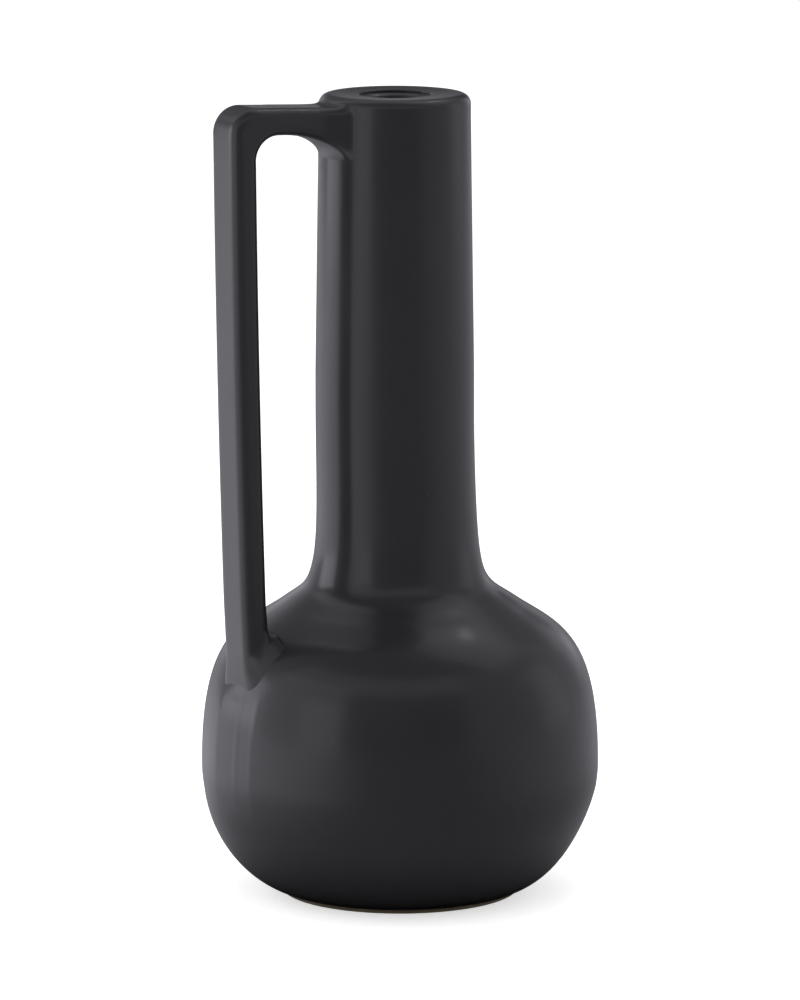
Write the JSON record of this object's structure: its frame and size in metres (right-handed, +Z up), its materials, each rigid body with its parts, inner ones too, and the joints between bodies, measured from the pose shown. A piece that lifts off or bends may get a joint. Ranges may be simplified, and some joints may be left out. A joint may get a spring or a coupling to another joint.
{
  "type": "stoneware vase",
  "caption": "Tall-necked stoneware bottle vase with a squat round body, a rolled rim with a small throat and a square-cornered bar handle, for dried stems or display.",
  "frame": {"origin": "on the table, under the middle of the round body", "axes": "+Z up along the body's axis, with the handle on the -X side"},
  "size_m": [0.1486, 0.1486, 0.3],
  "materials": {
    "black_glaze": "satin black glaze",
    "bare_clay": "unglazed fired stoneware"
  },
  "bodies": {
    "root": {"foot_ring": "bare_clay", "bowl": "black_glaze", "shoulder": "black_glaze", "neck": "black_glaze", "mouth_ring": "black_glaze", "handle_arm": "black_glaze", "handle_upright": "black_glaze"}
  },
  "joints": []
}
